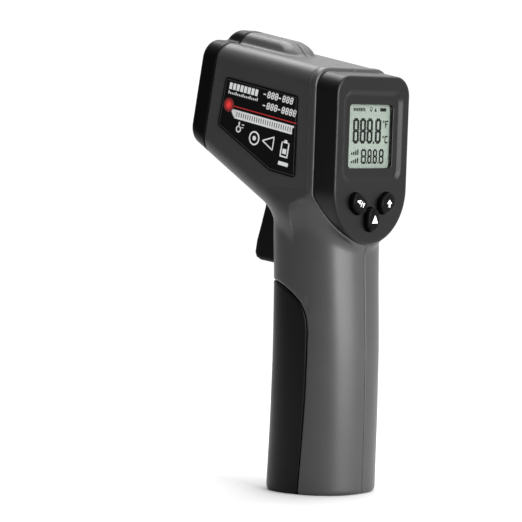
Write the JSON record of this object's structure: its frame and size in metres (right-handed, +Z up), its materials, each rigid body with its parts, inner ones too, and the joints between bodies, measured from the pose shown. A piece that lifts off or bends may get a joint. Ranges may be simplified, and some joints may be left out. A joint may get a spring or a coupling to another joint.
{
  "type": "infrared thermometer",
  "caption": "Pistol-shaped handheld infrared thermometer: round muzzle, laser ridge, trigger, tilted display head and a battery-door handle standing on its flat foot.",
  "frame": {"origin": "The middle of the handle's flat foot.", "axes": "+Z up from the foot to the head, +X from the muzzle towards the display, +Y from the labelled left side of the head to its right side"},
  "size_m": [0.0646, 0.0354, 0.1465],
  "materials": {
    "plastic_grey": "satin",
    "plastic_black": "semi-gloss",
    "black_matte": "matte",
    "window": "clear",
    "lcd": "satin",
    "diffuser": "translucent",
    "zebra": "matte",
    "board": "satin",
    "chip": "matte",
    "steel": "bright",
    "brass": "satin",
    "laser_glass": "clear",
    "lens": "translucent",
    "dark_screw": "dark",
    "cell_wrap": "gloss",
    "red_wire": "satin",
    "white_wire": "satin",
    "blue_wire": "satin",
    "sticker": "satin"
  },
  "bodies": {
    "case": {"left_shell": "plastic_grey", "right_shell": "plastic_grey", "front_bezel": "plastic_black", "laser_window": "laser_glass", "laser_module": "brass", "lens_barrel": "black_matte", "fresnel_lens": "lens", "lens_ring": "black_matte", "ir_sensor": "steel", "sensor_board": "board", "rear_cap": "plastic_black", "display_window": "window", "lcd_glass": "lcd", "lcd_backlight": "diffuser", "lcd_connector": "zebra", "main_board": "board", "control_chip": "chip", "buzzer": "black_matte", "button_switches": "black_matte", "trigger_pin": "steel", "trigger_spring": "steel", "trigger_switch": "black_matte", "door_pins": "steel", "battery_tray": "black_matte", "contact_springs": "steel", "contact_plates": "steel", "cell_left": "cell_wrap", "cell_right": "cell_wrap", "case_screws": "dark_screw", "board_screws": "steel", "laser_lead": "red_wire", "sensor_lead": "white_wire", "battery_lead": "blue_wire", "left_label": "sticker", "right_label": "sticker"},
    "trigger": {"trigger": "plastic_black"},
    "unit_button": {"unit_button": "plastic_black"},
    "lamp_button": {"lamp_button": "plastic_black"},
    "laser_button": {"laser_button": "plastic_black"},
    "battery_door": {"battery_door": "plastic_black"}
  },
  "joints": [
    {"name": "trigger_pull", "type": "hinge", "parent": "case", "child": "trigger", "pos_m": [-0.009, 0, 0.0925], "axis": [0, -1, 0], "range_deg": [0, 8], "stiffness_Nm_per_rad": 0.6, "springref_deg": -8.02},
    {"name": "unit_button_press", "type": "slide", "parent": "case", "child": "unit_button", "axis": [-0.999, 0, 0.0454], "range_m": [0, 0.0008], "stiffness_N_per_m": 900, "springref_m": -0.0006},
    {"name": "lamp_button_press", "type": "slide", "parent": "case", "child": "lamp_button", "axis": [-0.999, 0, 0.0454], "range_m": [0, 0.0008], "stiffness_N_per_m": 900, "springref_m": -0.0006},
    {"name": "laser_button_press", "type": "slide", "parent": "case", "child": "laser_button", "axis": [-0.999, 0, 0.0454], "range_m": [0, 0.0008], "stiffness_N_per_m": 900, "springref_m": -0.0006},
    {"name": "battery_door_swing", "type": "hinge", "parent": "case", "child": "battery_door", "pos_m": [-0.006, 0, 0.0024], "axis": [0, -1, 0], "range_deg": [0, 60]}
  ]
}
